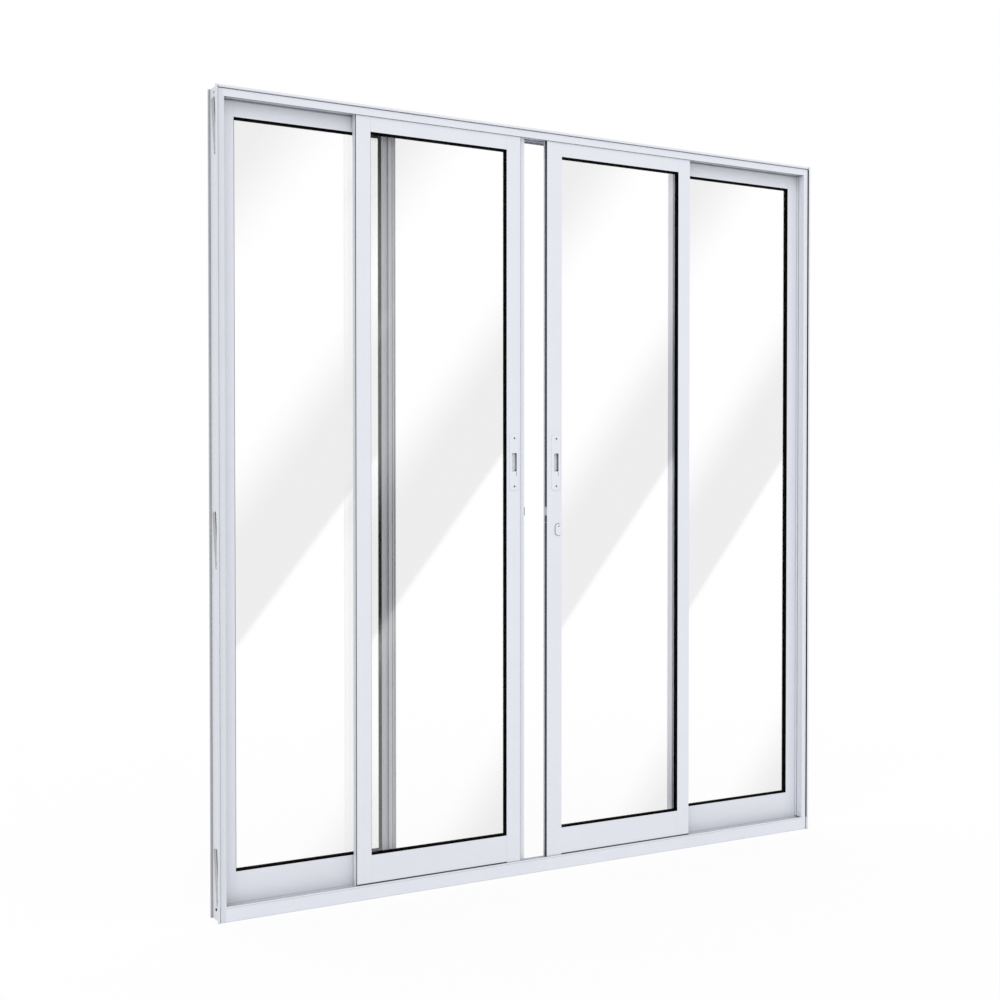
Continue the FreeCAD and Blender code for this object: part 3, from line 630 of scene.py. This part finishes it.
def foot_shade_strips():
    """Painted shade: a dark strip at the foot of each sliding leaf, just over the face of the sill, where the
    leaf meets the sill in shade.
    """
    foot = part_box("sill_track")[1].z + FOOT_SHADE_CLEARANCE
    for leaf in ("left", "right"):
        rail_low, rail_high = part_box("sliding_" + leaf + "_bottom_rail")
        outer_low, outer_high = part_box("sliding_" + leaf + "_interlock_stile")
        left = min(rail_low.x, outer_low.x)
        right = max(rail_high.x, outer_high.x)
        bm = bmesh.new()
        bar(bm, (left, rail_low.y - FOOT_SHADE_THICKNESS, foot), (right, rail_low.y, foot + FOOT_SHADE_HEIGHT))
        ease_edges(bm, MOULDED_RADIUS)
        even_shading(place_piece(bm, "sliding_" + leaf + "_wiper", leaf + "_leaf",
                                 [wiper_rubber]))


def meeting_shade_line():
    """Painted shade: a thin black line along the front edge of the left leaf's meeting stile, beside its
    tongue.
    """
    low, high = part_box("sliding_left_meeting_stile")
    edge = high.x - TONGUE_REACH
    front = low.y + SHADE_LINE_INSET
    bm = bmesh.new()
    bar(bm, (edge, front, low.z), (edge + SHADE_LINE_PROUD, front + SHADE_LINE_DEPTH, high.z))
    even_shading(place_piece(bm, "sliding_left_meeting_bead", "left_leaf", [rubber]))


def corner_shade_strips():
    """Painted shade: a grey strip in the corner between the web and the rear flange of each jamb, where that
    corner lies in shade.
    """
    for node, outward in (("left_jamb", -1.0), ("right_jamb", 1.0)):
        low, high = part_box(node)
        web = (low.x if outward < 0.0 else high.x) - outward * WEB_INSET
        back = high.y - FLANGE_THICKNESS
        ends = sorted((web, web + outward * CORNER_SHADE_WIDTH))
        bm = bmesh.new()
        bar(bm, (ends[0], back - CORNER_SHADE_THICKNESS, low.z), (ends[1], back, high.z))
        ease_edges(bm, MOULDED_RADIUS)
        even_shading(place_piece(bm, node + "_tape", "frame", [corner_shade]))


def panes():
    """Each sheet of glass keeps its shape and gets its finish."""
    for leaf in ("fixed_left", "fixed_right", "sliding_left", "sliding_right"):
        left_stile = {"fixed_left": "jamb_stile", "sliding_left": "interlock_stile",
                      "sliding_right": "meeting_stile", "fixed_right": "interlock_stile"}[leaf]
        left_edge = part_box(leaf + "_" + left_stile)[1].x
        slots = frame["nodes"][leaf + "_glass"].material_slots
        slots[0].material = glass(leaf + "_float_glass", left_edge)


def pull_moulding(node, outward):
    """A pull with a soft edge round its plate, crisp edges at its pocket, painted shade on the pocket's side
    walls and painted light on its floor.
    """
    bm = node_mesh(node)
    low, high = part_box(node)
    face = low.y if outward < 0.0 else high.y
    rim = [e for e in bm.edges if all(on_outline(v.co, low, high, face) for v in e.verts)]
    round_over(bm, rim, PLATE_RADIUS, PLATE_FACETS)
    ease_edges(bm, MOULDED_RADIUS, facets=1)
    pocket_low, pocket_high = low.x + PLATE_MARGIN, high.x - PLATE_MARGIN
    for part in bm.faces:
        middle = part.calc_center_median()
        if pocket_low < middle.x < pocket_high and abs(middle.y - face) > MOULDED_RADIUS:
            # Painted shade on the pocket's side walls, painted light on its deep floor
            if abs(part.normal.x) > MOSTLY:
                part.material_index = 1
            elif part.normal.y * outward > MOSTLY and abs(middle.y - face) > POCKET_DEPTH:
                part.material_index = 2
    even_shading(place_piece(bm, node + "_moulding", body_of[node],
                             [pull_plastic, pocket_shade_liner, painted_light_pocket_floor], [node]))


def on_outline(place, low, high, face):
    """Whether a point lies on the outline of a plate's outer face."""
    from_side = min(place.x - low.x, high.x - place.x)
    from_end = min(place.z - low.z, high.z - place.z)
    return abs(place.y - face) < MERGE and (from_side < MERGE or from_end < PLATE_CORNER)


def screw_recess_shades(leaf):
    """Painted shade: a dark cross standing on the head of each screw of a leaf's two pulls, for the shade in
    its recess.
    """
    bm = bmesh.new()
    low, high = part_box(leaf + "_pull_screws")
    half_head = (high.x - low.x) / 2
    middle_x = (low.x + high.x) / 2
    for z in (low.z + half_head, high.z - half_head):
        for face, outward in ((low.y, -1.0), (high.y, 1.0)):
            ends = sorted((face, face + outward * RECESS_PROUD))
            for size_x, size_z in ((RECESS_LENGTH, RECESS_WIDTH), (RECESS_WIDTH, RECESS_LENGTH)):
                bar(bm, (middle_x - size_x / 2, ends[0], z - size_z / 2),
                    (middle_x + size_x / 2, ends[1], z + size_z / 2))
    place_piece(bm, leaf + "_screw_recesses", body_of[leaf + "_pull_screws"], [dark_steel])


def lock_details():
    """The black seal under the lock's cover, its rim also painted shade round the cover, and a black disc of
    painted shade in the keyhole.
    """
    low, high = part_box("sliding_right_lock")
    margin = COVER_RIM_MARGIN
    bm = bmesh.new()
    bar(bm, (low.x - margin, high.y - COVER_RIM_THICKNESS, low.z - margin),
        (high.x + margin, high.y, high.z + margin))
    round_corners(bm, COVER_CORNER + margin, COVER_FACETS)
    even_shading(place_piece(bm, "lock_cover_seal", "right_leaf", [rubber]))
    middle = Vector(((low.x + high.x) / 2, low.y + KEYWAY_SET_BACK + KEYWAY_DEPTH / 2,
                     (low.z + high.z) / 2 + KEYWAY_RISE))
    bm = bmesh.new()
    turn = Matrix.Rotation(math.radians(90.0), 4, "X")
    bmesh.ops.create_cone(bm, cap_ends=True, segments=KEYWAY_FACETS, radius1=KEYWAY_RADIUS,
                          radius2=KEYWAY_RADIUS, depth=KEYWAY_DEPTH, matrix=Matrix.Translation(middle) @ turn)
    even_shading(place_piece(bm, "lock_cylinder_face", "right_leaf", [rubber]))


def wall_anchors(side):
    """The straps of one jamb: bright on their broad faces, dark on their edges, painted shade that outlines
    them.
    """
    node = side + "_wall_anchors"
    bm = node_mesh(node)
    ease_edges(bm, METAL_RADIUS, shortest=SMALL_EDGE)
    for face in bm.faces:
        # Painted shade on the straps' narrow edges
        face.material_index = 0 if abs(face.normal.x) > LARGELY else 1
    even_shading(place_piece(bm, node + "_straps", "frame", [strap, strap_edge_shade], [node]))


def hardware():
    """Pulls, lock, latch, screws, anchors and rollers."""
    for leaf in ("sliding_left", "sliding_right"):
        pull_moulding(leaf + "_front_pull", -1.0)
        pull_moulding(leaf + "_rear_pull", 1.0)
        eased_node(leaf + "_pull_screws", METAL_RADIUS, pull_plastic, "_heads", SMALL_EDGE)
        screw_recess_shades(leaf)
        eased_node(leaf + "_rollers", METAL_RADIUS, nylon, "_wheels", SMALL_EDGE)
    eased_node("sliding_right_lock", COVER_RADIUS, pull_plastic, "_cover", SMALL_EDGE)
    lock_details()
    eased_node("sliding_right_latch", METAL_RADIUS, zinc, "_plate")
    eased_node("sliding_left_latch_keeper", METAL_RADIUS, dark_steel, "_plate", SMALL_EDGE)
    for side in ("left", "right"):
        wall_anchors(side)
    screws = eased_node("corner_screws", METAL_RADIUS, zinc, "_heads", SMALL_EDGE)
    screws.data.materials.append(dark_steel)
    for face in screws.data.polygons:
        face.material_index = 1 if face.center.z < LOW_SCREWS else 0


def backdrop_white(path, tree):
    """One for the rays that see the background, nought for those that only carry light."""
    seen = maths(tree, "MAXIMUM", path.outputs["Is Camera Ray"], path.outputs["Is Glossy Ray"])
    return maths(tree, "MAXIMUM", seen, path.outputs["Is Transmission Ray"])


def stage_floor():
    """A plain pale floor that shows white and keeps the door's shadow."""
    bm = bmesh.new()
    bmesh.ops.create_grid(bm, x_segments=1, y_segments=1, size=FLOOR_REACH)
    mesh = bpy.data.meshes.new("floor")
    bm.to_mesh(mesh)
    bm.free()
    floor = bpy.data.objects.new("floor", mesh)
    bpy.context.scene.collection.objects.link(floor)
    material, tree, principled = new_material("floor_white")
    principled.inputs["Base Color"].default_value = FLOOR_COLOUR
    principled.inputs["Roughness"].default_value = 0.9
    principled.inputs["Specular IOR Level"].default_value = 0.0
    glow = add(tree, "ShaderNodeEmission")
    path = add(tree, "ShaderNodeLightPath")
    mix = add(tree, "ShaderNodeMixShader")
    tree.links.new(maths(tree, "MULTIPLY", backdrop_white(path, tree), FLOOR_WHITENESS), mix.inputs[0])
    tree.links.new(principled.outputs[0], mix.inputs[1])
    tree.links.new(glow.outputs[0], mix.inputs[2])
    tree.links.new(mix.outputs[0], tree.nodes["Material Output"].inputs["Surface"])
    mesh.materials.append(material)


def sky():
    """An even white surround that lights the door from all sides."""
    world = bpy.data.worlds.new("surround")
    bpy.context.scene.world = world
    world.use_nodes = True
    tree = world.node_tree
    background = tree.nodes["Background"]
    background.inputs["Color"].default_value = (1.0, 1.0, 1.0, 1.0)
    path = add(tree, "ShaderNodeLightPath")
    level = add(tree, "ShaderNodeMapRange")
    level.inputs["To Min"].default_value = SKY_LEVEL
    level.inputs["To Max"].default_value = 1.0
    tree.links.new(backdrop_white(path, tree), level.inputs["Value"])
    tree.links.new(level.outputs["Result"], background.inputs["Strength"])


def key_light():
    """A broad soft light from the front left."""
    lamp = bpy.data.lights.new("key", "SUN")
    lamp.energy = KEY_LEVEL
    lamp.angle = math.radians(KEY_SOFTNESS)
    key = bpy.data.objects.new("key", lamp)
    key.rotation_euler = Euler([math.radians(a) for a in KEY_TURN])
    bpy.context.scene.collection.objects.link(key)


def camera():
    """The photograph's viewpoint."""
    lens = bpy.data.cameras.new("camera")
    lens.sensor_width = SENSOR_WIDTH
    lens.lens = FOCAL_PIXELS / IMAGE_PIXELS * SENSOR_WIDTH
    seen_from = bpy.data.objects.new("camera", lens)
    seen_from.location = CAMERA_PLACE
    seen_from.rotation_euler = Euler((math.radians(90.0 + CAMERA_PITCH), 0.0, -math.radians(CAMERA_YAW)))
    bpy.context.scene.collection.objects.link(seen_from)
    bpy.context.scene.camera = seen_from


profiles()
gaskets()
piles()
foot_shade_strips()
meeting_shade_line()
corner_shade_strips()
panes()
hardware()
stage_floor()
sky()
key_light()
camera()
bpy.context.scene.view_settings.view_transform = "Standard"
